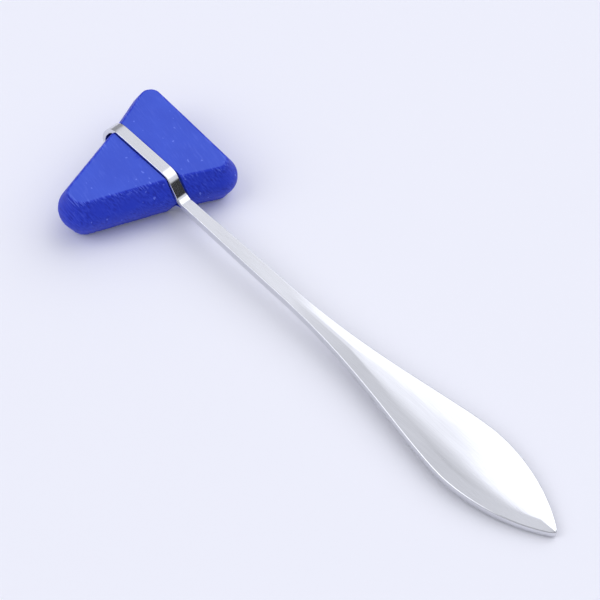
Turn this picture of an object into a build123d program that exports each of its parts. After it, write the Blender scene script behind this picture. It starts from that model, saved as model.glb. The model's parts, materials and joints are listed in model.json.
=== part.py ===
from build123d import *
from math import acos, asin, atan2, cos, degrees, hypot, sin, tan
import os

# Tomahawk reflex hammer, millimetres. The hammer lies on a table, which is Z = 0:
# it rests on the loop's lower near bend and on the leaf's domed underside.
# The design is drawn on the hammer's own mid plane, which leans by the rest angle.
# Along the mid plane, x = 0 is the middle of the rubber head and +x runs to the tip,
# y = 0 is the handle's centre line and +y runs to the head's broad base.

# --- handle: two equal metal halves, brazed back to back -----------------------------
half_thickness = 1.5            # one half, at the strap, the neck and the leaf's rim
strap_width = 4.0               # strap around the head
strap_proud = 0.8               # how far the strap stands above the rubber's face
loop_to_neck = 3.3              # inside of the loop to where both halves lie together
neck_width = 5.0                # widest part of the neck
leaf_start = 58.5               # x where the neck begins to widen
leaf_width = 23.2
tip_x = 176.0                   # x of the blunt tip
tip_width = 1.2
point_length = 34.0             # leaf's widest place to the tip
swell_start = 2.2               # higher: the leaf stays slim for longer
swell_end = 1.6                 # higher: the leaf reaches its full width sooner
point_fullness = 0.9            # lower: the point is more rounded
bevel_width = 3.8               # flat bevel inside the leaf's rim
bevel_rise = 0.6                # height of the bevel's inner edge above the rim
crown_rise = 0.8                # dome of the crown above the bevel's inner edge
bevel_start = 62.5              # x where the bevels begin
bevel_full = 98.5               # x where the bevels have their full rise
tip_thinning = 0.3              # how much thinner each half is at the tip
least_rise = 0.02               # the neck's top is this far from flat
least_crown = 0.12              # narrowest crown, as a share of the handle's width

# --- loop: inner line of the strap, seen from the side -------------------------------
loop_far_x = 18.3               # corner on the mid plane, away from the handle
loop_far_top_x = 13.5           # corner above it
loop_near_x = 17.0              # corner on the mid plane, at the neck
loop_near_top_x = 11.7          # corner above it
far_mid_radius = 6.0
far_bend_radius = 5.0
near_bend_radius = 4.0
neck_bend_radius = 3.0          # outer, hollow side of the bend into the neck

# --- rubber head ---------------------------------------------------------------------
head_thickness = 16.0
head_base = 47.2                # length of the broad base, along the handle
apex_reach = 32.8               # handle's centre line to the end of the apex
base_reach = 22.6               # handle's centre line to the base
apex_radius = 8.7
base_radius = 7.5
waist_half = 17.6               # half length of the head at the centre line
waist_radius = 40.0
side_inset = 4.2                # how far each face is smaller than the parting line
parting_radius = 6.0
face_radius = 1.8
groove_clearance = 0.2          # each side of the strap, in the head's groove
on_level = 0.001                # an edge this close to a level lies on it

neck_start = loop_near_x + loop_to_neck
belly_x = tip_x - point_length  # x of the leaf's greatest width


# --- handle's cross-section, along its length ----------------------------------------
def smooth_step(u):
    """0 to 1 with level ends."""
    u = min(max(u, 0.0), 1.0)
    return u * u * (3 - 2 * u)


def half_width(x):
    """Half width of the neck and leaf at x."""
    neck_share = smooth_step((x - neck_start) / (leaf_start - neck_start))
    neck = (strap_width + (neck_width - strap_width) * neck_share) / 2
    if x <= leaf_start:
        return neck
    if x <= belly_x:
        u = (x - leaf_start) / (belly_x - leaf_start)
        return neck + (leaf_width / 2 - neck) * (1 - (1 - u ** swell_start) ** swell_end)
    v = (x - belly_x) / point_length
    return tip_width / 2 + (leaf_width - tip_width) / 2 * (1 - v ** 2) ** point_fullness


def crown_half_width(x):
    """Half width of the crown between the two bevels."""
    return max(half_width(x) - bevel_width, least_crown * half_width(x))


def rim_height(x):
    """Height of one half's outer edge above the mid plane."""
    return half_thickness - tip_thinning * smooth_step((x - belly_x) / point_length)


def shoulder_height(x):
    """Height of the line where a bevel meets the crown."""
    rise = bevel_rise * smooth_step((x - bevel_start) / (bevel_full - bevel_start))
    bevel = half_width(x) - crown_half_width(x)
    return rim_height(x) + rise * bevel / bevel_width + least_rise


def crown_height(x):
    """Height of the crown on the centre line."""
    crown_share = crown_half_width(x) / (leaf_width / 2 - bevel_width)
    return shoulder_height(x) + crown_rise * crown_share ** 2 + least_rise


# --- worked out from the sizes above --------------------------------------------------
loop_inner_height = head_thickness / 2 + strap_proud - half_thickness
near_lean = atan2(loop_inner_height, loop_near_x - loop_near_top_x)
near_bend_x = loop_near_top_x - near_bend_radius * tan(near_lean / 2)
near_bend_z = loop_inner_height - near_bend_radius
outer_bend_radius = near_bend_radius + half_thickness


def leaf_touch_angle(x):
    """Lean at which a table under the loop's lower near bend touches the leaf at x."""
    run = x - near_bend_x
    drop = near_bend_z - crown_height(x)
    return atan2(drop, run) + asin(outer_bend_radius / hypot(run, drop))


# The hammer leans until the first point of the leaf's underside touches the table.
rest_angle = min(leaf_touch_angle(belly_x + step) for step in range(int(point_length)))
bend_height = near_bend_x * sin(rest_angle) + near_bend_z * cos(rest_angle)
mid_height = bend_height + outer_bend_radius

# The origin is under the middle of the hammer's outer box. Rounding the head's
# parting line takes the same amount off each side of its outline.
draft = atan2(side_inset, head_thickness / 2)
rounding_loss = parting_radius * (1 / cos(draft) - 1)
far_reach = head_base / 2 - rounding_loss
middle_x = (tip_x - far_reach) / 2 * cos(rest_angle)
middle_y = (base_reach - apex_reach) / 2
lean_x = (cos(rest_angle), 0, -sin(rest_angle))
lean_z = (sin(rest_angle), 0, cos(rest_angle))
mid = Plane(origin=(-middle_x, -middle_y, mid_height), x_dir=lean_x, z_dir=lean_z)
side = Plane(origin=mid.origin, x_dir=lean_x, z_dir=(0, -1, 0))


def section_plane(x):
    """Plane across the handle at x, with its own x along +y and its own y upwards."""
    return Plane(origin=mid.origin + mid.x_dir * x, x_dir=mid.y_dir, z_dir=mid.x_dir)


def blade_section(x):
    """Cross-section of the upper half: side walls, two bevels and a crown."""
    wide = half_width(x)
    rim = rim_height(x)
    crown = crown_half_width(x)
    shoulder = shoulder_height(x)
    with BuildSketch(section_plane(x)) as section:
        with BuildLine():
            Polyline((-crown, shoulder), (-wide, rim), (-wide, 0), (wide, 0), (wide, rim),
                     (crown, shoulder))
            ThreePointArc((crown, shoulder), (0, crown_height(x)), (-crown, shoulder))
        make_face()
    return section.sketch


def corner_at(sketch, across, up):
    """The corner of a sketch nearest to (across, up) on the sketch's own plane."""
    return sketch.vertices().sort_by_distance(Vector(across, up))[0]


def edges_at_level(block, level):
    """Edges that lie on one level of the hammer's mid plane."""
    return block.edges().filter_by(
        lambda edge: all(
            abs(mid.to_local_coords(edge @ share).Z - level) < on_level for share in (0, 0.5, 1)
        )
    )


# --- loop, seen from the side: its inner face and its outer face -----------------------
with BuildSketch(side) as loop_core:
    with BuildLine():
        Polyline(
            (-loop_far_x, 0), (-loop_far_top_x, loop_inner_height),
            (loop_near_top_x, loop_inner_height), (loop_near_x, 0),
            (loop_near_top_x, -loop_inner_height), (-loop_far_top_x, -loop_inner_height),
            close=True,
        )
    make_face()
    fillet(corner_at(loop_core, -loop_far_x, 0), far_mid_radius)
    for level in (loop_inner_height, -loop_inner_height):
        fillet(corner_at(loop_core, -loop_far_top_x, level), far_bend_radius)
        fillet(corner_at(loop_core, loop_near_top_x, level), near_bend_radius)

riser_slope = (loop_near_x - loop_near_top_x) / loop_inner_height
riser_foot_x = loop_near_x + half_thickness / sin(near_lean) - riser_slope * half_thickness
loop_room = 4 * head_thickness  # larger than the loop, for trimming

with BuildSketch(side) as strap_profile:
    add(loop_core.sketch_local)
    offset(amount=half_thickness)
    add(loop_core.sketch_local, mode=Mode.SUBTRACT)
    with Locations((0, -loop_room / 2)):
        Rectangle(2 * loop_room, loop_room, mode=Mode.SUBTRACT)
    with Locations(((loop_near_x + neck_start) / 2, half_thickness / 2)):
        Rectangle(neck_start - loop_near_x, half_thickness)
    fillet(corner_at(strap_profile, riser_foot_x, half_thickness), neck_bend_radius)

# --- handle, upper half: strap, neck and leaf in one piece -----------------------------
leaf_run = belly_x - leaf_start
stations = [neck_start + (leaf_start - neck_start) * step / 5 for step in range(5)]
stations += [leaf_start + leaf_run * step / 11 for step in range(11)]
stations += [belly_x + point_length * share for share in (0, 0.2, 0.4, 0.58, 0.74, 0.87, 0.95, 1)]

blade_sections = [blade_section(x) for x in stations]

with BuildPart() as upper_handle_half:
    loft(blade_sections)
    extrude(strap_profile.sketch, amount=strap_width / 2, both=True)
upper_handle_half.part.label = "upper_handle_half"

# --- handle, lower half: the upper one mirrored in the mid plane -----------------------
with BuildPart() as lower_handle_half:
    mirror(upper_handle_half.part, about=mid)
lower_handle_half.part.label = "lower_handle_half"

# --- rubber head: two faces, each drafted out to a rounded parting line -----------------
def tangent_angle(centre, radius, point, turn):
    """Angle on a circle, in degrees, where the line from a point touches it."""
    run = point[0] - centre[0]
    rise = point[1] - centre[1]
    return degrees(atan2(rise, run) + turn * acos(radius / hypot(run, rise)))


waist = (waist_half, 0)
apex_centre = (0, apex_radius - apex_reach)
apex_angle = tangent_angle(apex_centre, apex_radius, waist, -1)
corner_centre = (head_base / 2 - base_radius, base_reach - base_radius)
corner_angle = tangent_angle(corner_centre, base_radius, waist, 1)

with BuildSketch(mid) as head_outline:
    with BuildLine():
        apex_arc = CenterArc(apex_centre, apex_radius, -90, apex_angle + 90)
        Line(apex_arc @ 1, waist)
        corner_arc = CenterArc(corner_centre, base_radius, corner_angle, 90 - corner_angle)
        Line(waist, corner_arc @ 0)
        Line(corner_arc @ 1, (0, base_reach))
        mirror(about=Plane.YZ)
    make_face()
    for waist_x in (-waist_half, waist_half):
        fillet(corner_at(head_outline, waist_x, 0), waist_radius)

face_outlines = []
for level in (head_thickness / 2, -head_thickness / 2):
    with BuildSketch(mid.offset(level)) as face_outline:
        add(head_outline.sketch_local)
        offset(amount=-side_inset)
    face_outlines.append(face_outline.sketch)

with BuildPart() as rubber_head:
    for face_outline in face_outlines:
        loft([head_outline.sketch, face_outline], ruled=True)
    for level in (head_thickness / 2, -head_thickness / 2):
        fillet(edges_at_level(rubber_head, level), face_radius)
    fillet(edges_at_level(rubber_head, 0), parting_radius)
    # groove that the strap sits in, all the way round
    with BuildSketch(side) as groove:
        Rectangle(2 * loop_room, loop_room)
        add(loop_core.sketch_local, mode=Mode.SUBTRACT)
    extrude(amount=strap_width / 2 + groove_clearance, both=True, mode=Mode.SUBTRACT)
rubber_head.part.label = "rubber_head"

os.makedirs("parts", exist_ok=True)
export_step(upper_handle_half.part, "parts/upper_handle_half.step")
export_step(lower_handle_half.part, "parts/lower_handle_half.step")
export_step(rubber_head.part, "parts/rubber_head.step")
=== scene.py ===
"""A tomahawk reflex hammer: a rubber head in a loop of flat steel strap, on a leaf-shaped handle.

Every length is drawn on the hammer's own middle plane, where x runs along the handle from the
middle of the head, y runs from the head's apex to its base, and z is the hammer's own up.
hammer_place() then leans the pieces as the packed model lies.
"""

import json
import math

import bmesh
import bpy
import numpy as np
from bpy.props import FloatProperty, FloatVectorProperty, PointerProperty
from mathutils import Matrix, Vector, noise

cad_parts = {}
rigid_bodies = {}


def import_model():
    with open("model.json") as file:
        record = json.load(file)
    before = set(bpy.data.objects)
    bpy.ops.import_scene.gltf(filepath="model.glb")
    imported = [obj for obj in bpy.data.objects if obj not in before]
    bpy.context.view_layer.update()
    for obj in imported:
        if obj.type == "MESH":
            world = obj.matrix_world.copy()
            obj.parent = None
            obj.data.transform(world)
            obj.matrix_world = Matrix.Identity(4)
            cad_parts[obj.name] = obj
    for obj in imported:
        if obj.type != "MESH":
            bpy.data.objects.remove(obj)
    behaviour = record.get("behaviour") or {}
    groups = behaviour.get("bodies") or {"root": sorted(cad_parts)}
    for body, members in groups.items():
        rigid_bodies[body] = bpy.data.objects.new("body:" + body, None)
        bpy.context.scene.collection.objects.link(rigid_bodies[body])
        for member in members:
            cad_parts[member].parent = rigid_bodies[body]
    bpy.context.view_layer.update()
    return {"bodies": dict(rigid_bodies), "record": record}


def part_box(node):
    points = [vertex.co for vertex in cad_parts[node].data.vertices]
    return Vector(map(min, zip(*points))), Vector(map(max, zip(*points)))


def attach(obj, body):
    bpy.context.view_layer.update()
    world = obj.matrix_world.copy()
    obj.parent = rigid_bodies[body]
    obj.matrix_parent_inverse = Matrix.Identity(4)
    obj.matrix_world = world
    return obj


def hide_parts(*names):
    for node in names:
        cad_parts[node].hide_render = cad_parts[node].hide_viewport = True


bl_info = {
    "name": "Reflex Hammer",
    "version": (1, 0, 0),
    "blender": (4, 5, 0),
    "location": "3D View > Sidebar > Reflex Hammer",
    "description": "Makes a tomahawk reflex hammer with a rubber head and a leaf-shaped steel handle",
    "category": "Add Mesh",
}

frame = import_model()
MM = 0.001
BODY = "root" if "root" in frame["bodies"] else next(iter(frame["bodies"]))


# --- where the packed hammer lies --------------------------------------------------------


def hammer_place():
    """The matrix from the hammer's own middle plane to the row frame."""
    head_low, head_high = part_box("rubber_head")
    handle_low, handle_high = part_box("upper_handle_half")
    middle = (head_low + head_high) / 2
    middle.y = (handle_low.y + handle_high.y) / 2
    underside = next(m for m in frame["record"]["mounts"] if m["name"] == "head_underside")
    up = -Vector(underside["axis"]).normalized()
    across = Vector((0, 1, 0))
    along = across.cross(up)
    turn = Matrix((along, across, up)).transposed().to_4x4()
    return Matrix.Translation(middle) @ turn


def handle_box_width():
    """Width of the leaf, from the packed handle."""
    low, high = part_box("upper_handle_half")
    return high.y - low.y


# --- node trees ---------------------------------------------------------------------------


class Value:
    """A number socket, so that the maths of a tree reads as an expression."""

    def __init__(self, graph, socket):
        self.graph = graph
        self.socket = socket

    def __add__(self, other):
        return self.graph.maths("ADD", self, other)

    def __sub__(self, other):
        return self.graph.maths("SUBTRACT", self, other)

    def __rsub__(self, other):
        return self.graph.maths("SUBTRACT", other, self)

    def __mul__(self, other):
        return self.graph.maths("MULTIPLY", self, other)

    def __truediv__(self, other):
        return self.graph.maths("DIVIDE", self, other)

    def __pow__(self, other):
        return self.graph.maths("POWER", self, other)

    __radd__ = __add__
    __rmul__ = __mul__

    def at_least(self, other):
        return self.graph.maths("MAXIMUM", self, other)

    def at_most(self, other):
        return self.graph.maths("MINIMUM", self, other)

    def share(self, start, end):
        """0 at start, 1 at end, and level outside them."""
        return ((self - start) / (end - start)).at_least(0).at_most(1)

    def smooth_share(self, start, end):
        """The same with level ends."""
        u = self.share(start, end)
        return u * u * (3 - 2 * u)

    def quarter_sine(self):
        return self.graph.maths("SINE", self * (math.pi / 2))

    def quarter_cosine(self):
        return self.graph.maths("COSINE", self * (math.pi / 2))


class Graph:
    """A node tree while it is being built."""

    def __init__(self, tree):
        self.tree = tree

    def add(self, kind, settings=None, inputs=None):
        """Adds a node: its settings first, then the values or links of its sockets."""
        node = self.tree.nodes.new(kind)
        for name, setting in (settings or {}).items():
            if name == "stops":
                self.set_stops(node.color_ramp, setting)
            else:
                setattr(node, name, setting)
        for key, value in (inputs or {}).items():
            self.feed(node.inputs[key], value)
        return node

    def feed(self, socket, value):
        """Links a socket, or sets its value."""
        if isinstance(value, Value):
            value = value.socket
        if isinstance(value, bpy.types.NodeSocket):
            self.tree.links.new(value, socket)
        else:
            socket.default_value = value

    def set_stops(self, ramp, stops):
        """Gives a colour ramp its stops, as pairs of place and colour."""
        while len(ramp.elements) < len(stops):
            ramp.elements.new(1.0)
        for element, (place, colour) in zip(ramp.elements, stops):
            element.position = place
            element.color = colour

    def maths(self, operation, *values):
        node = self.add("ShaderNodeMath", {"operation": operation}, dict(enumerate(values)))
        return Value(self, node.outputs[0])

    def value(self, node, output=0):
        return Value(self, node.outputs[output])

    def mix_colour(self, share, first, second):
        """Mixes two colours by a share."""
        node = self.add("ShaderNodeMix", {"data_type": "RGBA"})
        colours = [s for s in node.inputs if s.type == "RGBA"]
        self.feed(node.inputs[0], share)
        self.feed(colours[0], first)
        self.feed(colours[1], second)
        return next(s for s in node.outputs if s.type == "RGBA")

    def stretched_noise(self, place, scale, detail, seed_shift=(0, 0, 0)):
        """Noise whose three scales, in cycles per metre, are set apart."""
        mapping = self.add(
            "ShaderNodeMapping", inputs={"Vector": place, "Scale": scale, "Location": seed_shift}
        )
        texture = self.add(
            "ShaderNodeTexNoise",
            inputs={"Vector": mapping.outputs[0], "Scale": 1.0, "Detail": detail},
        )
        return self.value(texture)


# --- sizes and colours that a user may change ------------------------------------------------


def size(name, description, millimetres):
    """A length that a user may change."""
    return FloatProperty(
        name=name,
        description=description,
        default=millimetres * MM,
        min=0.0,
        precision=5,
        unit="LENGTH",
        subtype="DISTANCE",
    )


def colour(name, description, default):
    """A colour that a user may change, in linear light."""
    return FloatVectorProperty(
        name=name, description=description, default=default, size=3, min=0, max=1, subtype="COLOR"
    )


def number(name, description, default, low=0.0, high=1.0):
    """A plain number that a user may change."""
    return FloatProperty(name=name, description=description, default=default, min=low, max=high)


class ReflexHammerHandleSizes(bpy.types.PropertyGroup):
    """Sizes of one half of the handle."""

    strap_width: size("Strap Width", "Width of the strap around the head", 4.0)
    thickness: size("Half Thickness", "Thickness of one half at the strap and rim", 1.5)
    neck_start: size("Neck Start", "Middle of the head to where both halves lie together", 20.3)
    neck_width: size("Neck Width", "Widest part of the neck", 5.0)
    leaf_start: size("Leaf Start", "Middle of the head to where the neck begins to widen", 58.5)
    leaf_width: size("Leaf Width", "Greatest width of the leaf", handle_box_width() / MM)
    tip_reach: size("Tip Reach", "Middle of the head to the tip", 176.0)
    tip_width: size("Tip Width", "Width of the blunt tip", 1.2)
    nose_length: size("Nose Length", "Length of the rounding at the tip", 0.9)
    point_length: size("Point Length", "Leaf's widest place to the tip", 34.0)
    tip_thinning: size("Tip Thinning", "How much thinner each half is at the tip", 0.3)
    bevel_width: size("Bevel Width", "Width of the bevel inside the leaf's rim", 3.8)
    bevel_rise: size("Bevel Rise", "Height of the bevel's inner edge above the rim", 0.6)
    bevel_start: size("Bevel Start", "Middle of the head to where the bevels begin", 62.5)
    bevel_full: size("Bevel Full", "Middle of the head to where the bevels are full", 98.5)
    crown_rise: size("Crown Rise", "Dome of the crown above the bevels", 0.7)
    rim_radius: size("Rim Radius", "Rounding of the upper edge", 0.5)
    foot_radius: size("Foot Radius", "Rounding of the strap's inner edges", 0.2)
    wall_bulge: size("Wall Bulge", "How far the side wall swells at the middle plane", 0.1)


class ReflexHammerLoopSizes(bpy.types.PropertyGroup):
    """Sizes of the loop's inner line, seen from the side."""

    inner_height: size("Inner Height", "Middle plane to the strap's inner face", 7.3)
    far_reach: size("Far Reach", "Middle of the head to the loop's far corner", 17.7)
    far_top_reach: size("Far Top Reach", "Middle of the head to the corner above it", 13.5)
    near_reach: size("Near Reach", "Middle of the head to the loop's corner at the neck", 17.0)
    near_top_reach: size("Near Top Reach", "Middle of the head to the corner above it", 11.7)
    far_mid_radius: size("Far Middle Radius", "Bend at the far corner", 6.0)
    far_bend_radius: size("Far Bend Radius", "Bend above the far corner", 5.0)
    near_bend_radius: size("Near Bend Radius", "Bend above the neck", 4.0)
    neck_bend_radius: size("Neck Bend Radius", "Hollow bend into the neck, on its outer side", 3.0)


class ReflexHammerHeadSizes(bpy.types.PropertyGroup):
    """Sizes of the rubber head."""

    thickness: size("Thickness", "Face to face", 16.0)
    base_length: size("Base Length", "Length of the broad base, along the handle", 47.2)
    apex_reach: size("Apex Reach", "Handle's centre line to the end of the apex", 32.8)
    base_reach: size("Base Reach", "Handle's centre line to the base", 22.6)
    apex_radius: size("Apex Radius", "Rounding of the apex", 8.7)
    base_radius: size("Base Radius", "Rounding of the base's corners", 7.5)
    waist_half: size("Waist Half", "Half length at the handle's centre line", 17.6)
    side_inset: size("Side Inset", "How far each face is smaller than the parting line", 4.2)
    parting_radius: size("Parting Radius", "Rounding along the middle of the sides", 6.0)
    face_radius: size("Face Radius", "Rounding along the edge of each face", 0.9)
    groove_clearance: size("Groove Clearance", "Gap beside the strap", 0.2)
    mark_depth: size("Mark Depth", "Depth of the tooling marks along the edges", 0.10)
    turn: FloatProperty(
        name="Turn",
        description="How far the head is turned in its loop, seen from above",
        default=math.radians(-2.4),
        unit="ROTATION",
        subtype="ANGLE",
    )


class ReflexHammerFinishes(bpy.types.PropertyGroup):
    """Colours of the two materials."""

    # Painted light: the flat faces take a lighter copy of the rubber, as if lit from above, and the
    # sides a darker, shaded copy.
    rubber: colour("Rubber", "Moulded rubber of the head's sides", (0.012, 0.040, 0.60))
    rubber_face_lit: colour("Rubber Face", "Rubber of the flat faces", (0.046, 0.100, 0.66))
    # Darker rubber for the mottle, and painted shade in the furrows of the side strokes.
    rubber_dark_and_shade: colour("Dark Rubber", "Darker patches of the rubber", (0.004, 0.014, 0.36))
    # Pale rubber of scuffs and specks, also used for a painted highlight along the faces' ridges.
    rubber_worn_and_highlight: colour("Worn Rubber", "Rubber where it is scuffed", (0.16, 0.24, 0.88))
    steel: colour("Steel", "Plated steel of the handle", (0.755, 0.76, 0.785))
    steel_roughness: number("Polish", "Roughness of the polished strap and bevels", 0.13)
    satin_roughness: number("Satin", "Roughness of the leaf's crown", 0.22)


class ReflexHammerStage(bpy.types.PropertyGroup):
    """The floor, the light and the camera."""

    floor: colour("Floor", "Pale floor", (0.905, 0.905, 0.955))
    light_power: number("Light Power", "Brightness of the soft light", 1.094, 0.0, 10.0)
    camera_azimuth: number("Camera Azimuth", "Degrees round from the front", 46.95, -360, 360)
    camera_elevation: number("Camera Elevation", "Degrees above the floor", 52.77, -90, 90)
    camera_distance: FloatProperty(
        name="Camera Distance",
        description="Camera to the middle of the object",
        default=0.755,
        unit="LENGTH",
        subtype="DISTANCE",
    )
    camera_lens: number("Camera Lens", "Focal length in millimetres", 149.8, 1.0, 1000.0)


# --- mesh helpers ---------------------------------------------------------------------------

ON_PLANE = 1e-9                     # a height this close to 0 is on the middle plane


def rounded_line(corners, radii, steps=24):
    """A line through corners, each rounded by its own radius. A corner of radius 0 stays sharp.

    The first and last corners count as neighbours, so a ring of corners may all be rounded.
    """
    corners = [np.array(corner, float) for corner in corners]
    count = len(corners)
    line = []
    for place, corner in enumerate(corners):
        radius = radii[place]
        if radius == 0:
            line.append(corner)
            continue
        back = corners[place - 1] - corner
        ahead = corners[(place + 1) % count] - corner
        back /= np.linalg.norm(back)
        ahead /= np.linalg.norm(ahead)
        half_turn = math.acos(np.clip(back @ ahead, -1, 1)) / 2
        middle = (back + ahead) / np.linalg.norm(back + ahead)
        centre = corner + middle * radius / math.sin(half_turn)
        tangent = radius / math.tan(half_turn)
        start = corner + back * tangent - centre
        end = corner + ahead * tangent - centre
        sweep = math.pi - 2 * half_turn
        for step in range(steps + 1):
            angle = sweep * step / steps
            weight_start = math.sin(sweep - angle) / math.sin(sweep)
            weight_end = math.sin(angle) / math.sin(sweep)
            line.append(centre + weight_start * start + weight_end * end)
    return np.array(line)


def from_middle_plane(line):
    """The rest of a line, from where it first reaches the middle plane."""
    first = next(k for k, point in enumerate(line) if point[1] > -ON_PLANE)
    return line[first:]


def even_line(line, count, closed=False):
    """The same line with count points, evenly spaced. A closed one leaves out its repeated end."""
    steps = np.linalg.norm(np.diff(line, axis=0), axis=1)
    travelled = np.concatenate(([0], np.cumsum(steps)))
    places = np.linspace(0, travelled[-1], count, endpoint=not closed)
    return np.stack([np.interp(places, travelled, line[:, k]) for k in (0, 1)], axis=1)


def new_piece(name, mesh, material, node):
    """Puts a finished mesh in the scene, on the hammer's body, in place of its CAD node."""
    piece = bpy.data.objects.new(name, mesh)
    bpy.context.scene.collection.objects.link(piece)
    mesh.materials.clear()
    mesh.materials.append(material)
    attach(piece, BODY)
    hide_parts(node)
    return piece


def face_outwards(mesh):
    """Turns every face out, if the closed mesh is inside out."""
    shell = bmesh.new()
    shell.from_mesh(mesh)
    if shell.calc_volume(signed=True) < 0:
        bmesh.ops.reverse_faces(shell, faces=shell.faces)
    shell.to_mesh(mesh)
    shell.free()


def evaluated_mesh(piece):
    """The piece's mesh with its modifiers applied, as a plain mesh."""
    bpy.context.view_layer.update()
    depsgraph = bpy.context.evaluated_depsgraph_get()
    return bpy.data.meshes.new_from_object(piece.evaluated_get(depsgraph))


# --- materials ------------------------------------------------------------------------------


def new_material(name):
    """An empty material with a principled shader, as (material, graph, shader node)."""
    material = bpy.data.materials.new(name)
    material.use_nodes = True
    material.node_tree.nodes.clear()
    graph = Graph(material.node_tree)
    shader = graph.add("ShaderNodeBsdfPrincipled")
    graph.add("ShaderNodeOutputMaterial", inputs={"Surface": shader.outputs[0]})
    return material, graph, shader


def opaque(colour_value, brightness=1.0):
    """A colour at a share of its brightness, with full alpha."""
    return (*[c * brightness for c in colour_value], 1.0)


STROKE_TURN = math.radians(12)      # tooling strokes cross the head at this angle to the handle
STROKE_LEAN = math.radians(-32)     # and lean this much on its sides
RUBBER_GRAIN = 0.12 * MM            # depth of the strokes' bump
STEEL_GRAIN = 0.02 * MM             # depth of the steel's fine lines
SCRATCH_TONE = (0.55, 0.55, 0.58, 1.0)
SMUDGE_BRIGHTNESS = 0.90            # of the steel's own
CLOUD_BRIGHTNESS = 0.985            # of the floor's own


def rubber_material(finishes):
    """Blue moulded rubber, ground flat: fine strokes with painted shade in their furrows, faces
    painted lighter than the sides, a ridge lightened by scuffs and a painted highlight, and a few
    pale specks.
    """
    material, graph, shader = new_material("blue_rubber")
    place = graph.add("ShaderNodeTexCoord").outputs["Object"]
    turned = graph.add(
        "ShaderNodeMapping", inputs={"Vector": place, "Rotation": (STROKE_LEAN, 0, STROKE_TURN)}
    ).outputs[0]
    strokes = graph.stretched_noise(turned, (240, 2100, 700), 3.0)
    fine_strokes = graph.stretched_noise(turned, (600, 4600, 1500), 2.0, (3, 1, 7))
    mottle = graph.stretched_noise(place, (90, 90, 90), 2.0, (5, 2, 1))
    patches = graph.stretched_noise(place, (150, 150, 150), 1.0, (1, 8, 2))
    specks = graph.stretched_noise(place, (620, 900, 620), 0.0, (2, 4, 9))
    ridge = graph.value(graph.add("ShaderNodeAttribute", {"attribute_name": "ridge"}), "Fac")
    face = graph.value(graph.add("ShaderNodeAttribute", {"attribute_name": "face"}), "Fac")
    # Painted light: lighter rubber on the flat faces, darker rubber on the sides.
    tone = graph.mix_colour(face, opaque(finishes.rubber), opaque(finishes.rubber_face_lit))
    # Painted shade: the sides are darkened in the furrows of the tooling strokes, where patches
    # allow. The mottle is the rubber's own uneven tone.
    furrow_shade = (1 - face) * (1 - strokes.share(0.34, 0.52)) * 0.75
    dark = (mottle.share(0.3, 0.7) * 0.18).at_least(furrow_shade * patches.share(0.15, 0.6))
    tone = graph.mix_colour(dark, tone, opaque(finishes.rubber_dark_and_shade))
    # Paler rubber where the strokes are scuffed, and a painted highlight along the ridge at each
    # face's edge.
    scuffed_and_highlit = strokes.share(0.50, 0.74) * (0.20 + 0.80 * ridge) * patches.share(0.2, 0.65)
    tone = graph.mix_colour(scuffed_and_highlit, tone, opaque(finishes.rubber_worn_and_highlight))
    tone = graph.mix_colour(specks.share(0.79, 0.83) * 0.6, tone, opaque(finishes.rubber_worn_and_highlight))
    graph.feed(shader.inputs["Base Color"], tone)
    graph.feed(shader.inputs["Roughness"], 0.46 + 0.16 * fine_strokes + 0.1 * ridge)
    shader.inputs["Specular IOR Level"].default_value = 0.35
    grain = strokes * patches.share(0.2, 0.7) + 0.5 * fine_strokes
    bump = graph.add(
        "ShaderNodeBump",
        inputs={"Strength": 0.5, "Distance": RUBBER_GRAIN, "Height": grain},
    )
    graph.feed(shader.inputs["Normal"], bump.outputs[0])
    return material


def steel_material(finishes):
    """Bright plated steel: polished strap and bevels, satin crown, fine lines along the handle."""
    material, graph, shader = new_material("polished_steel")
    place = graph.add("ShaderNodeTexCoord").outputs["Object"]
    satin = graph.value(graph.add("ShaderNodeAttribute", {"attribute_name": "satin"}), "Fac")
    lines = graph.stretched_noise(place, (60, 4200, 4200), 3.0)
    waves = graph.stretched_noise(place, (55, 160, 160), 2.0, (4, 2, 6))
    smudges = graph.stretched_noise(place, (35, 110, 110), 3.0, (8, 3, 2))
    scratch = graph.stretched_noise(place, (130, 2600, 2600), 1.0, (6, 6, 1)).share(0.70, 0.80)
    rough = finishes.steel_roughness + (finishes.satin_roughness - finishes.steel_roughness) * satin
    rough = rough + 0.10 * (lines - 0.5) + 0.08 * (smudges - 0.5) + 0.12 * scratch
    graph.feed(shader.inputs["Roughness"], rough.at_least(0.05))
    dulled = smudges.share(0.35, 0.75) * 0.6 + lines.share(0.35, 0.65) * 0.4
    tone = graph.mix_colour(
        dulled, opaque(finishes.steel), opaque(finishes.steel, SMUDGE_BRIGHTNESS)
    )
    tone = graph.mix_colour(scratch * 0.25, tone, SCRATCH_TONE)
    graph.feed(shader.inputs["Base Color"], tone)
    shader.inputs["Metallic"].default_value = 1.0
    height = 0.6 * lines * (0.4 + satin) + 4.0 * waves
    bump = graph.add(
        "ShaderNodeBump",
        inputs={"Strength": 0.25, "Distance": STEEL_GRAIN, "Height": height},
    )
    graph.feed(shader.inputs["Normal"], bump.outputs[0])
    return material


def floor_material(stage):
    """Plain pale floor with the faintest unevenness."""
    material, graph, shader = new_material("pale_floor")
    place = graph.add("ShaderNodeTexCoord").outputs["Object"]
    cloud = graph.stretched_noise(place, (4, 4, 4), 2.0)
    tone = graph.mix_colour(cloud, opaque(stage.floor), opaque(stage.floor, CLOUD_BRIGHTNESS))
    graph.feed(shader.inputs["Base Color"], tone)
    shader.inputs["Roughness"].default_value = 0.75
    shader.inputs["Specular IOR Level"].default_value = 0.2
    return material


# --- handle ---------------------------------------------------------------------------------

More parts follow.
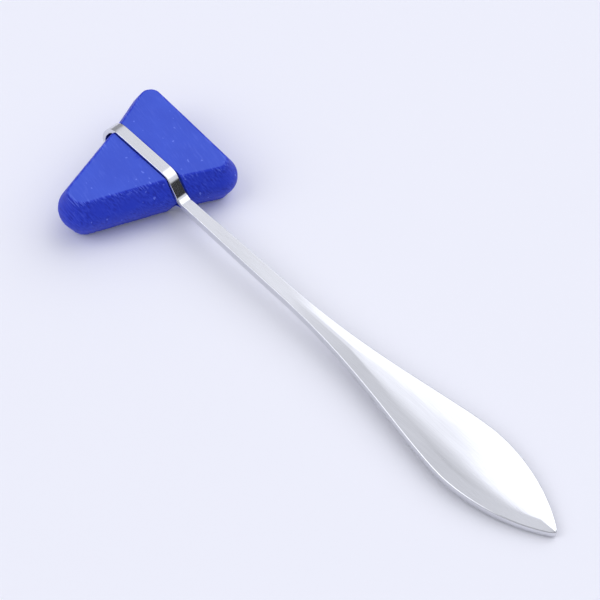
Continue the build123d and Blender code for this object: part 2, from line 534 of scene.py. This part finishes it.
CROWN, BEVEL, RIM, WALL, FOOT, BACK = 16, 9, 6, 4, 3, 3     # faces across each part of a side
SIDE = CROWN + BEVEL + RIM + WALL + FOOT + BACK
LOOP_ROWS, RUN_ROWS, NOSE_ROWS = 210, 260, 8    # faces along the loop, the neck and leaf, the tip
ROWS = 1 + LOOP_ROWS + RUN_ROWS + NOSE_ROWS
STRIP_SPACING = 0.2 * MM            # between the points of a strip's line
MERGE_DISTANCE = 0.0005 * MM
LEAST_FOOT_RADIUS = 0.001 * MM
FOOT_FADE = 2 * MM                  # the strap's inner edges sharpen over this length
SWELL_START, SWELL_END = 2.2, 1.6   # how slowly the leaf begins to widen, and how soon it is full
POINT_FULLNESS = 0.9                # lower: the point is more rounded
LEAST_CROWN = 0.12                  # narrowest crown, as a share of the handle's width
CROWN_POWER = 3.2                   # higher: the crown is flatter on top and steeper at its edges
TIP_ROUND_OVER = 0.35               # how much the tip's end is lowered
RIM_AT_STRAP = 0.5                  # rim's rounding at the strap and neck, as a share of the leaf's
WIDEST_RIM = 0.6                    # widest rim rounding, as a share of the half width
SHARP_ANGLE = math.radians(50)      # steeper edges are shaded sharp


def strip_line(sizes, loop):
    """Inner line of one half, from the loop's far end on the middle plane to the tip."""
    hollow_radius = loop.neck_bend_radius + sizes.thickness
    corners = [
        (-loop.far_top_reach, -loop.inner_height),
        (-loop.far_reach, 0),
        (-loop.far_top_reach, loop.inner_height),
        (loop.near_top_reach, loop.inner_height),
        (loop.near_reach, 0),
        (sizes.tip_reach, 0),
    ]
    radii = [
        0, loop.far_mid_radius, loop.far_bend_radius, loop.near_bend_radius, hollow_radius, 0,
    ]
    return from_middle_plane(rounded_line(corners, radii))


def line_mesh(line):
    """A mesh of one chain of edges along a line in the x-z plane."""
    length = np.linalg.norm(np.diff(line, axis=0), axis=1).sum()
    points = even_line(line, int(length / STRIP_SPACING) + 1)
    mesh = bpy.data.meshes.new("strip_line")
    edges = [(k, k + 1) for k in range(len(points) - 1)]
    mesh.from_pydata([(x, 0, z) for x, z in points], edges, [])
    return mesh


def add_inputs(tree, sizes):
    """One named input in a tree for each size of a property group."""
    for key in sizes.__annotations__:
        prop = sizes.bl_rna.properties[key]
        socket = tree.interface.new_socket(prop.name, in_out="INPUT", socket_type="NodeSocketFloat")
        socket.subtype = "DISTANCE"
        socket.default_value = getattr(sizes, key)
        socket.description = prop.description


def section_grid(graph):
    """A grid whose rows run along the strip and whose columns run round the section.

    Returned with the row, which counts from the loop's far end, and the column, which counts
    both ways from the middle of the outer face.
    """
    grid = graph.add(
        "GeometryNodeMeshGrid",
        inputs={
            "Size X": float(ROWS - 1),
            "Size Y": float(2 * SIDE),
            "Vertices X": ROWS,
            "Vertices Y": 2 * SIDE + 1,
        },
    )
    position = graph.add("GeometryNodeInputPosition").outputs[0]
    parts = graph.add("ShaderNodeSeparateXYZ", inputs={0: position})
    return grid, graph.value(parts, "X") + (ROWS - 1) / 2, graph.value(parts, "Y")


def shaded_smooth(graph, shape):
    """Shades a shape smooth, and its steep edges sharp."""
    smooth = graph.add("GeometryNodeSetShadeSmooth", inputs={"Geometry": shape.outputs[0]})
    angle = graph.value(graph.add("GeometryNodeInputMeshEdgeAngle"))
    return graph.add(
        "GeometryNodeSetShadeSmooth",
        {"domain": "EDGE"},
        {
            "Geometry": smooth.outputs[0],
            "Selection": graph.maths("GREATER_THAN", angle, SHARP_ANGLE),
            "Shade Smooth": False,
        },
    )


def handle_half_tree(sizes):
    """Node tree that wraps a strap, neck and leaf section round a strip's line."""
    tree = bpy.data.node_groups.new("handle_half", "GeometryNodeTree")
    tree.interface.new_socket("Strip Line", in_out="INPUT", socket_type="NodeSocketGeometry")
    add_inputs(tree, sizes)
    tree.interface.new_socket("Metal", in_out="INPUT", socket_type="NodeSocketMaterial")
    tree.interface.new_socket("Half", in_out="OUTPUT", socket_type="NodeSocketGeometry")
    graph = Graph(tree)
    given = graph.add("NodeGroupInput")

    def of(name):
        return graph.value(given, name)

    curve = graph.add("GeometryNodeMeshToCurve", inputs={0: given.outputs["Strip Line"]})
    whole = graph.value(graph.add("GeometryNodeCurveLength", inputs={0: curve.outputs[0]}))

    grid, row, column = section_grid(graph)
    side = graph.maths("SIGN", column)
    step = graph.maths("ABSOLUTE", column)

    # Rows: a closing row, the loop, the straight run, then the nose, closer and closer.
    run = of("Tip Reach") - of("Neck Start")
    closing = row.at_most(1)
    loop_share = row.share(1, 1 + LOOP_ROWS)
    run_share = row.share(1 + LOOP_ROWS, 1 + LOOP_ROWS + RUN_ROWS)
    nose_share = row.share(ROWS - 1 - NOSE_ROWS, ROWS - 1)
    nose = of("Nose Length")
    travelled = (
        (whole - run) * loop_share + (run - nose) * run_share + nose * nose_share.quarter_sine()
    )
    sample = graph.add(
        "GeometryNodeSampleCurve",
        {"mode": "LENGTH"},
        {"Curves": curve.outputs[0], "Length": travelled.at_most(whole)},
    )
    on_line = graph.add("ShaderNodeSeparateXYZ", inputs={0: sample.outputs["Position"]})
    heading = graph.add("ShaderNodeSeparateXYZ", inputs={0: sample.outputs["Tangent"]})
    x = graph.value(on_line, "X")

    # The leaf's outline, its rim, and the heights of its bevels and crown at this row.
    neck_share = x.smooth_share(of("Neck Start"), of("Leaf Start"))
    neck = (of("Strap Width") + (of("Neck Width") - of("Strap Width")) * neck_share) / 2
    belly = of("Tip Reach") - of("Point Length")
    widening = 1 - (1 - x.share(of("Leaf Start"), belly) ** SWELL_START) ** SWELL_END
    narrowing = x.share(belly, of("Tip Reach"))
    point = (1 - narrowing * narrowing).at_least(0) ** POINT_FULLNESS
    half_leaf = of("Leaf Width") / 2
    outline = neck + (half_leaf - neck) * widening
    outline = outline - (half_leaf - of("Tip Width") / 2) * (1 - point)
    wide = outline - of("Wall Bulge")
    rim = of("Half Thickness") - of("Tip Thinning") * x.smooth_share(belly, of("Tip Reach"))
    crown_half = (wide - of("Bevel Width")).at_least(wide * LEAST_CROWN)
    full_crown = half_leaf - of("Bevel Width")
    rise = of("Bevel Rise") * x.smooth_share(of("Bevel Start"), of("Bevel Full"))
    shoulder = rim + rise * (wide - crown_half) / of("Bevel Width")
    dome = of("Crown Rise") * (crown_half / full_crown) ** 2

    # Round one side of the section: crown, bevel, rim, wall, foot, then the flat back.
    ends = np.cumsum([0, CROWN, BEVEL, RIM, WALL, FOOT, BACK])
    on_crown, on_bevel, on_rim, on_wall, on_foot, on_back = (
        step.share(float(start), float(end)) for start, end in zip(ends, ends[1:])
    )
    rim_growth = RIM_AT_STRAP + (1 - RIM_AT_STRAP) * x.smooth_share(of("Leaf Start"), belly)
    rim_radius = (of("Rim Radius") * rim_growth).at_most(wide * WIDEST_RIM)
    sharpening = x.smooth_share(of("Neck Start") - FOOT_FADE, of("Neck Start"))
    foot_radius = of("Foot Radius") * (1 - sharpening) + LEAST_FOOT_RADIUS
    bulge = of("Wall Bulge") * on_wall * (2 - on_wall)
    reach = (
        crown_half * on_crown
        + (wide - rim_radius - crown_half) * on_bevel
        + rim_radius * on_rim.quarter_sine()
        + bulge
        - foot_radius * (1 - on_foot.quarter_cosine())
        - (wide + of("Wall Bulge") - foot_radius) * on_back
    )
    height = (
        shoulder
        + dome * (1 - on_crown ** CROWN_POWER)
        - (shoulder - rim) * on_bevel
        - rim_radius * (1 - on_rim.quarter_cosine())
        - (rim - rim_radius - foot_radius) * on_wall
        - foot_radius * on_foot.quarter_sine()
    )
    rounding = nose_share.quarter_cosine()
    height = height * (1 - TIP_ROUND_OVER * (1 - rounding))
    height = height * closing + of("Half Thickness") / 2 * (1 - closing)
    across = reach * side * rounding * closing

    placed = graph.add(
        "ShaderNodeCombineXYZ",
        inputs={
            0: x - height * graph.value(heading, "Z"),
            1: across,
            2: graph.value(on_line, "Z") + height * graph.value(heading, "X"),
        },
    )
    satin = (1 - on_bevel.share(0.0, 0.5)) * x.smooth_share(of("Bevel Start"), of("Bevel Full"))
    shape = graph.add(
        "GeometryNodeStoreNamedAttribute",
        inputs={"Geometry": grid.outputs[0], "Name": "satin", "Value": satin},
    )
    shape = graph.add(
        "GeometryNodeSetPosition",
        inputs={"Geometry": shape.outputs[0], "Position": placed.outputs[0]},
    )
    shape = graph.add(
        "GeometryNodeMergeByDistance",
        inputs={"Geometry": shape.outputs[0], "Distance": MERGE_DISTANCE},
    )
    shape = shaded_smooth(graph, shape)
    shape = graph.add("GeometryNodeRealizeInstances", inputs={0: shape.outputs[0]})
    shape = graph.add(
        "GeometryNodeSetMaterial",
        inputs={"Geometry": shape.outputs[0], "Material": given.outputs["Metal"]},
    )
    graph.add("NodeGroupOutput", inputs={0: shape.outputs[0]})
    return tree


def set_inputs(modifier, tree, sizes, metal):
    """Gives a modifier its sizes and material, by each socket's identifier."""
    identifiers = {
        item.name: item.identifier
        for item in tree.interface.items_tree
        if item.item_type == "SOCKET" and item.in_out == "INPUT"
    }
    for key in sizes.__annotations__:
        modifier[identifiers[sizes.bl_rna.properties[key].name]] = getattr(sizes, key)
    modifier[identifiers["Metal"]] = metal


def handle_half_mesh(sizes, loop, metal):
    """The upper half of the handle on the hammer's own middle plane."""
    strip = bpy.data.objects.new("strip", line_mesh(strip_line(sizes, loop)))
    bpy.context.scene.collection.objects.link(strip)
    tree = handle_half_tree(sizes)
    modifier = strip.modifiers.new("handle_half", "NODES")
    modifier.node_group = tree
    set_inputs(modifier, tree, sizes, metal)
    mesh = evaluated_mesh(strip)
    bpy.data.objects.remove(strip)
    return mesh


# --- rubber head ----------------------------------------------------------------------------

HEAD_COLUMNS = 600                  # points round the outline
ARC_POINTS = 60                     # points along each rounded corner before they are evened out
HEAD_PROFILE_POINTS = 25            # from the parting line to the face's flat
FACE_RINGS = 12
WAIST_RADIUS = 40 * MM
FACE_RUN = 1.6                      # the profile runs this far onto the face, in edge radii
GROOVE_CORNER_RADIUS = 0.4 * MM     # rounding of the groove's corner at the neck
CUTTER_SCALE = 3.0                  # the groove's cutter is this much larger outside than inside
MARK_SPACING = 0.55 * MM            # between tooling marks
MARK_LENGTH = 5.0 * MM
RIDGE_WIDTH = 1.4                   # ridge's half width, as a share of the face's edge radius
SIDE_MARKS = 0.3                    # depth of the marks on the sides, as a share of the ridge's


def head_outline(head):
    """Closed outline at the parting line, before it is rounded, as points and outward normals."""
    waist = np.array((head.waist_half, 0))

    def touch(centre, radius, turn):
        """Angle where the line from the waist touches a circle."""
        run, rise = waist - centre
        return math.atan2(rise, run) + turn * math.acos(radius / math.hypot(run, rise))

    def arc(centre, radius, start, end):
        angles = np.linspace(start, end, ARC_POINTS)
        return [centre + radius * np.array((math.cos(a), math.sin(a))) for a in angles]

    apex = np.array((0, head.apex_radius - head.apex_reach))
    corner = np.array((head.base_length / 2, head.base_reach)) - head.base_radius
    apex_arc = arc(apex, head.apex_radius, -math.pi / 2, touch(apex, head.apex_radius, -1))
    corner_arc = arc(corner, head.base_radius, touch(corner, head.base_radius, 1), math.pi / 2)
    waist_bend = rounded_line([apex_arc[-1], waist, corner_arc[0]], [0, WAIST_RADIUS, 0])[1:-1]
    right = apex_arc + list(waist_bend) + corner_arc
    left = [np.array((-x, y)) for x, y in reversed(right)]
    points = even_line(np.array(right + left[:-1] + right[:1]), HEAD_COLUMNS, closed=True)
    cosine, sine = math.cos(head.turn), math.sin(head.turn)
    points = points @ np.array(((cosine, sine), (-sine, cosine)))
    tangent = np.roll(points, -1, axis=0) - np.roll(points, 1, axis=0)
    tangent /= np.linalg.norm(tangent, axis=1)[:, None]
    return points, np.stack([tangent[:, 1], -tangent[:, 0]], axis=1)


def head_profile(head):
    """Side of the head's upper half, as pairs of inset and height, from the parting line up."""
    top = head.thickness / 2
    flat = head.side_inset + head.face_radius * FACE_RUN
    corners = [(head.side_inset, -top), (0, 0), (head.side_inset, top), (flat, top)]
    line = rounded_line(corners, [0, head.parting_radius, head.face_radius, 0], steps=16)
    return even_line(from_middle_plane(line), HEAD_PROFILE_POINTS)


def tooling_mark(point):
    """Height of the tooling marks at a point, -1 to 1. They are short across the handle."""
    cell = Vector((point[0] / MARK_LENGTH, point[1] / MARK_SPACING, point[2] / MARK_LENGTH))
    return noise.noise(cell)


def head_rings(head):
    """The head's closed rings, with the outline's outward normals and its middle point.

    The rings run from the lower face round to the upper one. Each is its points, its height
    and its share of the ridge along a face's edge.
    """
    outline, normal = head_outline(head)
    top = head.thickness / 2
    middle = outline.mean(axis=0)
    rings = []
    for inset, height in head_profile(head):
        ridge = max(0.0, 1 - abs(inset - head.side_inset) / (RIDGE_WIDTH * head.face_radius))
        ridge *= height > top - RIDGE_WIDTH * head.face_radius
        rings.append((outline - normal * inset, height, ridge))
    rim = rings[-1][0]
    for step in range(1, FACE_RINGS):
        share = step / FACE_RINGS
        rings.append((rim * (1 - share) + middle * share, top, 0.0))
    below = [(ring, -height, ridge) for ring, height, ridge in rings[:0:-1]]
    return below + rings, normal, middle


def head_mesh(head):
    """The head before its groove is cut."""
    rings, normal, middle = head_rings(head)
    top = head.thickness / 2
    shell = bmesh.new()
    ridge_layer = shell.verts.layers.float.new("ridge")
    face_layer = shell.verts.layers.float.new("face")
    made = []
    for ring, height, ridge in rings:
        row = []
        for column, (x, y) in enumerate(ring):
            point = np.array((x, y, height))
            outwards = np.append(normal[column], math.copysign(ridge, height))
            depth = head.mark_depth * (SIDE_MARKS + (1 - SIDE_MARKS) * ridge)
            if abs(height) == top and ridge == 0:
                depth = 0.0
            shift = tooling_mark(point) * depth / np.linalg.norm(outwards)
            vertex = shell.verts.new(point + outwards * shift)
            vertex[ridge_layer] = ridge
            vertex[face_layer] = float(abs(height) == top)
            row.append(vertex)
        made.append(row)
    for lower, upper in zip(made, made[1:]):
        for k in range(HEAD_COLUMNS):
            after = (k + 1) % HEAD_COLUMNS
            shell.faces.new((lower[k], lower[after], upper[after], upper[k]))
    for ring, height in ((made[0], -top), (made[-1], top)):
        centre = shell.verts.new((*middle, height))
        centre[face_layer] = 1.0
        for k in range(HEAD_COLUMNS):
            shell.faces.new((ring[k], ring[(k + 1) % HEAD_COLUMNS], centre))
    bmesh.ops.recalc_face_normals(shell, faces=shell.faces)
    mesh = bpy.data.meshes.new("rubber_head_blank")
    shell.to_mesh(mesh)
    shell.free()
    return mesh


def groove_cutter(loop, width):
    """A closed ring round the outside of the loop's core, as wide as the groove."""
    inner = rounded_line(
        [
            (-loop.far_reach, 0),
            (-loop.far_top_reach, loop.inner_height),
            (loop.near_top_reach, loop.inner_height),
            (loop.near_reach, 0),
            (loop.near_top_reach, -loop.inner_height),
            (-loop.far_top_reach, -loop.inner_height),
        ],
        [
            loop.far_mid_radius, loop.far_bend_radius, loop.near_bend_radius,
            GROOVE_CORNER_RADIUS, loop.near_bend_radius, loop.far_bend_radius,
        ],
        steps=12,
    )
    outer = inner * CUTTER_SCALE
    shell = bmesh.new()
    half = width / 2
    loops = [
        [shell.verts.new((x, y, z)) for x, z in line]
        for line, y in ((inner, -half), (outer, -half), (outer, half), (inner, half))
    ]
    count = len(inner)
    for first, second in zip(loops, loops[1:] + loops[:1]):
        for k in range(count):
            after = (k + 1) % count
            shell.faces.new((first[k], first[after], second[after], second[k]))
    bmesh.ops.recalc_face_normals(shell, faces=shell.faces)
    mesh = bpy.data.meshes.new("groove_cutter")
    shell.to_mesh(mesh)
    shell.free()
    return mesh


def grooved_head_mesh(head, loop, strap_width):
    """The head with the strap's groove cut round it."""
    width = strap_width + 2 * head.groove_clearance
    blank = bpy.data.objects.new("head_blank", head_mesh(head))
    cutter = bpy.data.objects.new("cutter", groove_cutter(loop, width))
    for piece in (blank, cutter):
        bpy.context.scene.collection.objects.link(piece)
    cut = blank.modifiers.new("groove", "BOOLEAN")
    cut.operation = "DIFFERENCE"
    cut.solver = "EXACT"
    cut.object = cutter
    mesh = evaluated_mesh(blank)
    for piece in (blank, cutter):
        bpy.data.objects.remove(piece)
    return mesh


# --- stage ----------------------------------------------------------------------------------

FLOOR_HALF = 4.0                # metres
SENSOR_WIDTH = 36.0             # millimetres
TARGET = Vector((-0.0114, 0.0099, 0.0))         # what the camera looks at
SOFT_LIGHT = Vector((0.10, 0.70, 0.70)).normalized()    # towards the middle of the soft light
SOFT_LIGHT_STOPS = (            # brightness by the cosine of the angle from that middle
    (0.0, 0.62), (0.50, 0.38), (0.61, 0.60), (0.67, 0.74),
    (0.80, 0.82), (0.835, 0.96), (0.87, 1.35), (1.0, 1.75),
)
FILL_LIGHT = Vector((-0.30, -0.60, 0.74)).normalized()  # towards a smaller soft light
FILL_EDGE = (0.88, 0.95)        # cosines of the angles between which it fades in
FILL_BRIGHTNESS = 1.9
SKY_TINT = (0.975, 0.99, 1.06)  # slightly blue
HORIZON_NEAR_TIP = 0.04         # brightness of the horizon on the tip's side
HORIZON_NEAR_HEAD = 0.36        # and on the head's
TIP_SIDE = (-0.5, 0.5)          # directions' x between which one turns into the other
BEYOND_HEAD = (-0.85, -0.60)    # directions' x between which the raised horizon ends
HORIZON_TOP = (0.20, 0.40)      # sines of the angles between which the horizon turns to sky
HORIZON_RISE = 0.22             # how much higher it reaches beyond the head
PALE_BACKGROUND = (0.84, 0.85, 0.93, 1.0)       # seen behind the floor
BRIGHTEST = 4.0                 # a ramp's colours stay below 1, so they are scaled by this


def add_floor(stage):
    """The table that the hammer lies on."""
    mesh = bpy.data.meshes.new("floor")
    signs = ((-1, -1), (1, -1), (1, 1), (-1, 1))
    corners = [(x * FLOOR_HALF, y * FLOOR_HALF, 0) for x, y in signs]
    mesh.from_pydata(corners, [], [(0, 1, 2, 3)])
    mesh.materials.append(floor_material(stage))
    floor = bpy.data.objects.new("floor", mesh)
    bpy.context.scene.collection.objects.link(floor)


def add_light(stage):
    """A large soft light on the side of the head's base, a smaller one opposite, a dim horizon."""
    world = bpy.data.worlds.new("studio")
    bpy.context.scene.world = world
    world.use_nodes = True
    world.node_tree.nodes.clear()
    graph = Graph(world.node_tree)
    heading = graph.add("ShaderNodeTexCoord").outputs["Generated"]

    def facing(direction):
        """Cosine of the angle from a direction."""
        node = graph.add(
            "ShaderNodeVectorMath", {"operation": "DOT_PRODUCT"}, {0: heading, 1: tuple(direction)}
        )
        return graph.value(node, "Value")

    stops = [(place, opaque([tone / BRIGHTEST] * 3)) for place, tone in SOFT_LIGHT_STOPS]
    ramp = graph.add("ShaderNodeValToRGB", {"stops": stops}, {0: facing(SOFT_LIGHT)})
    parts = graph.add("ShaderNodeSeparateXYZ", inputs={0: heading})
    to_tip = graph.value(parts, "X").smooth_share(*TIP_SIDE)
    beyond_head = 1 - graph.value(parts, "X").smooth_share(*BEYOND_HEAD)
    horizon = HORIZON_NEAR_HEAD + (HORIZON_NEAR_TIP - HORIZON_NEAR_HEAD) * to_tip
    height = graph.value(parts, "Z") - HORIZON_RISE * beyond_head
    lifted = height.smooth_share(*HORIZON_TOP)
    fill = facing(FILL_LIGHT).smooth_share(*FILL_EDGE) * FILL_BRIGHTNESS
    sky = (graph.value(ramp) * BRIGHTEST).at_least(fill) * lifted + horizon * (1 - lifted)
    tinted = graph.add(
        "ShaderNodeVectorMath", {"operation": "SCALE"}, {0: SKY_TINT, "Scale": sky}
    )
    seen = graph.value(graph.add("ShaderNodeLightPath"), "Is Camera Ray")
    light = graph.mix_colour(seen, tinted.outputs[0], PALE_BACKGROUND)
    shader = graph.add("ShaderNodeBackground", inputs={0: light, 1: stage.light_power})
    graph.add("ShaderNodeOutputWorld", inputs={0: shader.outputs[0]})


def add_camera(stage):
    """Looks down on the hammer from beside its tip."""
    azimuth = math.radians(stage.camera_azimuth)
    elevation = math.radians(stage.camera_elevation)
    back = Vector((
        math.sin(azimuth) * math.cos(elevation),
        -math.cos(azimuth) * math.cos(elevation),
        math.sin(elevation),
    ))
    data = bpy.data.cameras.new("camera")
    data.lens = stage.camera_lens
    data.sensor_width = SENSOR_WIDTH
    camera = bpy.data.objects.new("camera", data)
    camera.location = TARGET + back * stage.camera_distance
    camera.rotation_euler = back.to_track_quat("Z", "Y").to_euler()
    bpy.context.scene.collection.objects.link(camera)
    bpy.context.scene.camera = camera


# --- operators, panel and registration ---------------------------------------------------------


class HAMMER_OT_stage(bpy.types.Operator):
    """Adds the floor, the soft light and the camera"""

    bl_idname = "hammer.stage"
    bl_label = "Add Stage"

    def execute(self, context):
        stage = context.scene.hammer_stage
        context.scene.view_settings.view_transform = "Standard"
        add_floor(stage)
        add_light(stage)
        add_camera(stage)
        return {"FINISHED"}


class HAMMER_OT_handle(bpy.types.Operator):
    """Makes the two metal halves of the loop, neck and leaf"""

    bl_idname = "hammer.handle"
    bl_label = "Make Handle Halves"

    def execute(self, context):
        scene = context.scene
        metal = steel_material(scene.hammer_finishes)
        upper = handle_half_mesh(scene.hammer_handle, scene.hammer_loop, metal)
        if not upper.polygons:
            raise RuntimeError("the handle's node tree made no faces")
        lower = upper.copy()
        lower.transform(Matrix.Scale(-1, 4, (0, 0, 1)))
        for name, mesh, node in (
            ("upper_half", upper, "upper_handle_half"),
            ("lower_half", lower, "lower_handle_half"),
        ):
            face_outwards(mesh)
            mesh.transform(hammer_place())
            new_piece(name, mesh, metal, node)
        return {"FINISHED"}


class HAMMER_OT_head(bpy.types.Operator):
    """Makes the rubber head with its groove"""

    bl_idname = "hammer.head"
    bl_label = "Make Rubber Head"

    def execute(self, context):
        scene = context.scene
        mesh = grooved_head_mesh(
            scene.hammer_head, scene.hammer_loop, scene.hammer_handle.strap_width
        )
        if not mesh.polygons:
            raise RuntimeError("cutting the groove left no head")
        face_outwards(mesh)
        mesh.shade_smooth()
        mesh.set_sharp_from_angle(angle=SHARP_ANGLE)
        mesh.transform(hammer_place())
        rubber = rubber_material(scene.hammer_finishes)
        new_piece("head", mesh, rubber, "rubber_head")
        return {"FINISHED"}


class HAMMER_PT_panel(bpy.types.Panel):
    """Sizes, finishes and pieces of the hammer"""

    bl_idname = "HAMMER_PT_panel"
    bl_label = "Reflex Hammer"
    bl_space_type = "VIEW_3D"
    bl_region_type = "UI"
    bl_category = "Reflex Hammer"

    def draw(self, context):
        for group in GROUPS:
            box = self.layout.box()
            values = getattr(context.scene, group)
            box.label(text=GROUPS[group].__doc__)
            for key in values.__annotations__:
                box.prop(values, key)
        for operator in OPERATORS:
            self.layout.operator(operator.bl_idname)


GROUPS = {
    "hammer_handle": ReflexHammerHandleSizes,
    "hammer_loop": ReflexHammerLoopSizes,
    "hammer_head": ReflexHammerHeadSizes,
    "hammer_finishes": ReflexHammerFinishes,
    "hammer_stage": ReflexHammerStage,
}
OPERATORS = (HAMMER_OT_stage, HAMMER_OT_handle, HAMMER_OT_head)
CLASSES = (*GROUPS.values(), *OPERATORS, HAMMER_PT_panel)


def register():
    for item in CLASSES:
        bpy.utils.register_class(item)
    for name, group in GROUPS.items():
        setattr(bpy.types.Scene, name, PointerProperty(type=group))


def unregister():
    for name in GROUPS:
        delattr(bpy.types.Scene, name)
    for item in reversed(CLASSES):
        bpy.utils.unregister_class(item)


def main():
    """Makes every piece and the stage."""
    register()
    bpy.ops.hammer.stage()
    bpy.ops.hammer.handle()
    bpy.ops.hammer.head()


if __name__ == "__main__":
    main()
